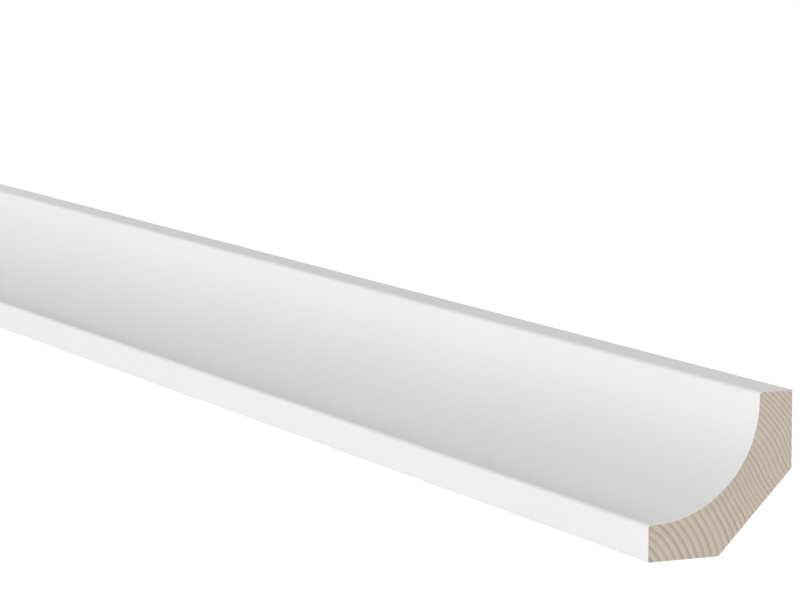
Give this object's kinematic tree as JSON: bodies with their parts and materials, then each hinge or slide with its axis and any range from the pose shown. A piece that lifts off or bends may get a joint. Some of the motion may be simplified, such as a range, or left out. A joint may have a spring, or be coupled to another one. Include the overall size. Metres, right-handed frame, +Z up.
{
  "type": "cove crown moulding",
  "caption": "White-painted softwood cove crown moulding with a hollow face, a flat lip along each edge and a bevelled back corner, sawn square at both ends.",
  "frame": {"origin": "middle of the flat face that lies against the wall, halfway along the moulding and halfway up that face", "axes": "+X along the moulding towards the sawn end that the picture shows; +Y out of the back, into the wall; +Z up as pictured, with the hollow facing up and forwards"},
  "size_m": [0.7, 0.045, 0.045],
  "materials": {
    "painted_softwood": "satin white paint on the long faces, bare end grain at the sawn ends"
  },
  "bodies": {
    "root": {"cove_moulding": "painted_softwood"}
  },
  "joints": []
}
